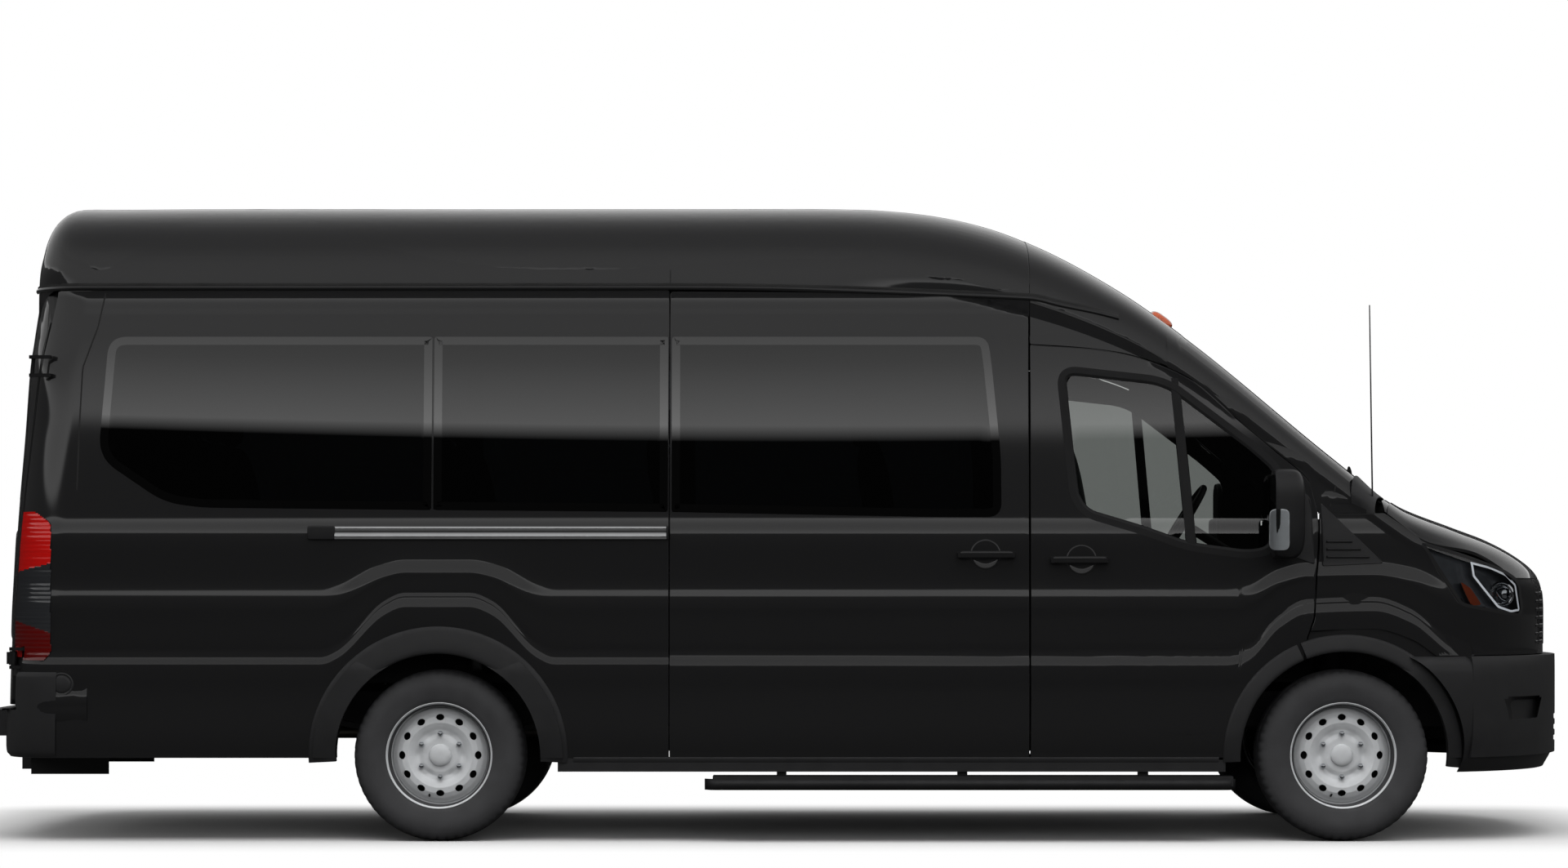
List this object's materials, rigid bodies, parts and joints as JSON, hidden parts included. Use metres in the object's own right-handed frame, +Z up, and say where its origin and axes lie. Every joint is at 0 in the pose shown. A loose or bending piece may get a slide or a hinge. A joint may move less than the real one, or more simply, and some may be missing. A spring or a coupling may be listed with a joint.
{
  "type": "high-roof minibus",
  "caption": "Long high-roof passenger van with a sliding side door, twin rear doors, hinged front doors, opening bonnet, steered front wheels and turning rear wheels.",
  "frame": {"origin": "on the ground, midway between the bumpers and midway between the sides", "axes": "+X forward, +Y to the vehicle's left, +Z up"},
  "size_m": [6.702, 2.426, 2.6922],
  "materials": {
    "paint": "gloss black paint",
    "trim": "black grained plastic",
    "glass": "tinted glass",
    "lamp": "clear lamp cover",
    "tail": "red lamp cover",
    "tyre": "rubber",
    "rim": "silver paint",
    "chassis": "satin black",
    "seat": "dark woven fabric",
    "steel": "bare castings"
  },
  "bodies": {
    "body": {"right_side_panel": "paint", "left_side_panel": "paint", "rear_corner_panels": "paint", "roof_panel": "paint", "cab_frame": "paint", "windscreen": "glass", "cowl": "trim", "side_windows": "glass", "sliding_door": "paint", "front_wings": "paint", "front_panel": "trim", "front_lamps": "lamp", "front_bumper": "trim", "rear_bumper": "trim", "bulkhead": "chassis", "towing_receiver": "chassis", "tail_lamps": "tail", "clearance_lamps": "lamp", "wipers": "trim", "wheel_arch_mouldings": "trim", "sills": "paint", "running_boards": "trim", "floor_pan": "chassis", "wheel_housings": "chassis", "chassis_frame": "chassis", "front_suspension": "chassis", "rear_axle": "chassis", "leaf_springs": "chassis", "engine_block": "steel", "driveline": "chassis", "fuel_tank": "trim", "exhaust": "chassis", "dashboard": "trim", "steering_wheel": "trim", "front_seats": "seat", "passenger_seats": "seat", "aerial": "trim"},
    "bonnet": {"bonnet": "paint"},
    "right_front_door": {"right_front_door": "paint", "right_front_window": "glass", "right_mirror": "trim", "right_door_moulding": "trim"},
    "right_rear_door": {"right_rear_door": "paint", "right_rear_window": "glass"},
    "right_knuckle": {"right_knuckle": "steel"},
    "front_right_wheel": {"front_right_tyre": "tyre", "front_right_rim": "rim"},
    "rear_right_wheel": {"rear_right_tyre": "tyre", "rear_right_rim": "rim"},
    "left_front_door": {"left_front_door": "paint", "left_front_window": "glass", "left_mirror": "trim", "left_door_moulding": "trim"},
    "left_rear_door": {"left_rear_door": "paint", "left_rear_window": "glass"},
    "left_knuckle": {"left_knuckle": "steel"},
    "front_left_wheel": {"front_left_tyre": "tyre", "front_left_rim": "rim"},
    "rear_left_wheel": {"rear_left_tyre": "tyre", "rear_left_rim": "rim"}
  },
  "joints": [
    {"name": "right_steer", "type": "hinge", "parent": "body", "child": "right_knuckle", "pos_m": [2.328, -0.774, 0.356], "axis": [0, 0, 1], "range_deg": [-35, 35]},
    {"name": "front_right_spin", "type": "hinge", "parent": "right_knuckle", "child": "front_right_wheel", "pos_m": [2.328, -0.866, 0.356], "axis": [0, 1, 0], "continuous": true},
    {"name": "rear_right_spin", "type": "hinge", "parent": "body", "child": "rear_right_wheel", "pos_m": [-1.421, -0.866, 0.356], "axis": [0, 1, 0], "continuous": true},
    {"name": "right_front_door_hinge", "type": "hinge", "parent": "body", "child": "right_front_door", "pos_m": [2.17, -0.996, 1], "axis": [0, 0.0545, 0.9985], "range_deg": [0, 70]},
    {"name": "right_rear_door_hinge", "type": "hinge", "parent": "body", "child": "right_rear_door", "pos_m": [-3.194, -0.93, 0.78], "axis": [0.0675, 0, 0.9977], "range_deg": [0, 180]},
    {"name": "left_steer", "type": "hinge", "parent": "body", "child": "left_knuckle", "pos_m": [2.328, 0.774, 0.356], "axis": [0, 0, 1], "range_deg": [-35, 35]},
    {"name": "front_left_spin", "type": "hinge", "parent": "left_knuckle", "child": "front_left_wheel", "pos_m": [2.328, 0.866, 0.356], "axis": [0, 1, 0], "continuous": true},
    {"name": "rear_left_spin", "type": "hinge", "parent": "body", "child": "rear_left_wheel", "pos_m": [-1.421, 0.866, 0.356], "axis": [0, 1, 0], "continuous": true},
    {"name": "left_front_door_hinge", "type": "hinge", "parent": "body", "child": "left_front_door", "pos_m": [2.17, 0.996, 1], "axis": [0, 0.0545, -0.9985], "range_deg": [0, 70]},
    {"name": "left_rear_door_hinge", "type": "hinge", "parent": "body", "child": "left_rear_door", "pos_m": [-3.194, 0.93, 0.78], "axis": [-0.0675, 0, -0.9977], "range_deg": [0, 180]},
    {"name": "bonnet_hinge", "type": "hinge", "parent": "body", "child": "bonnet", "pos_m": [2.576, 0, 1.408], "axis": [0, -1, 0], "range_deg": [0, 55]}
  ],
  "couplings": [
    {"joint": "left_steer", "follows": "right_steer", "ratio": 1}
  ]
}
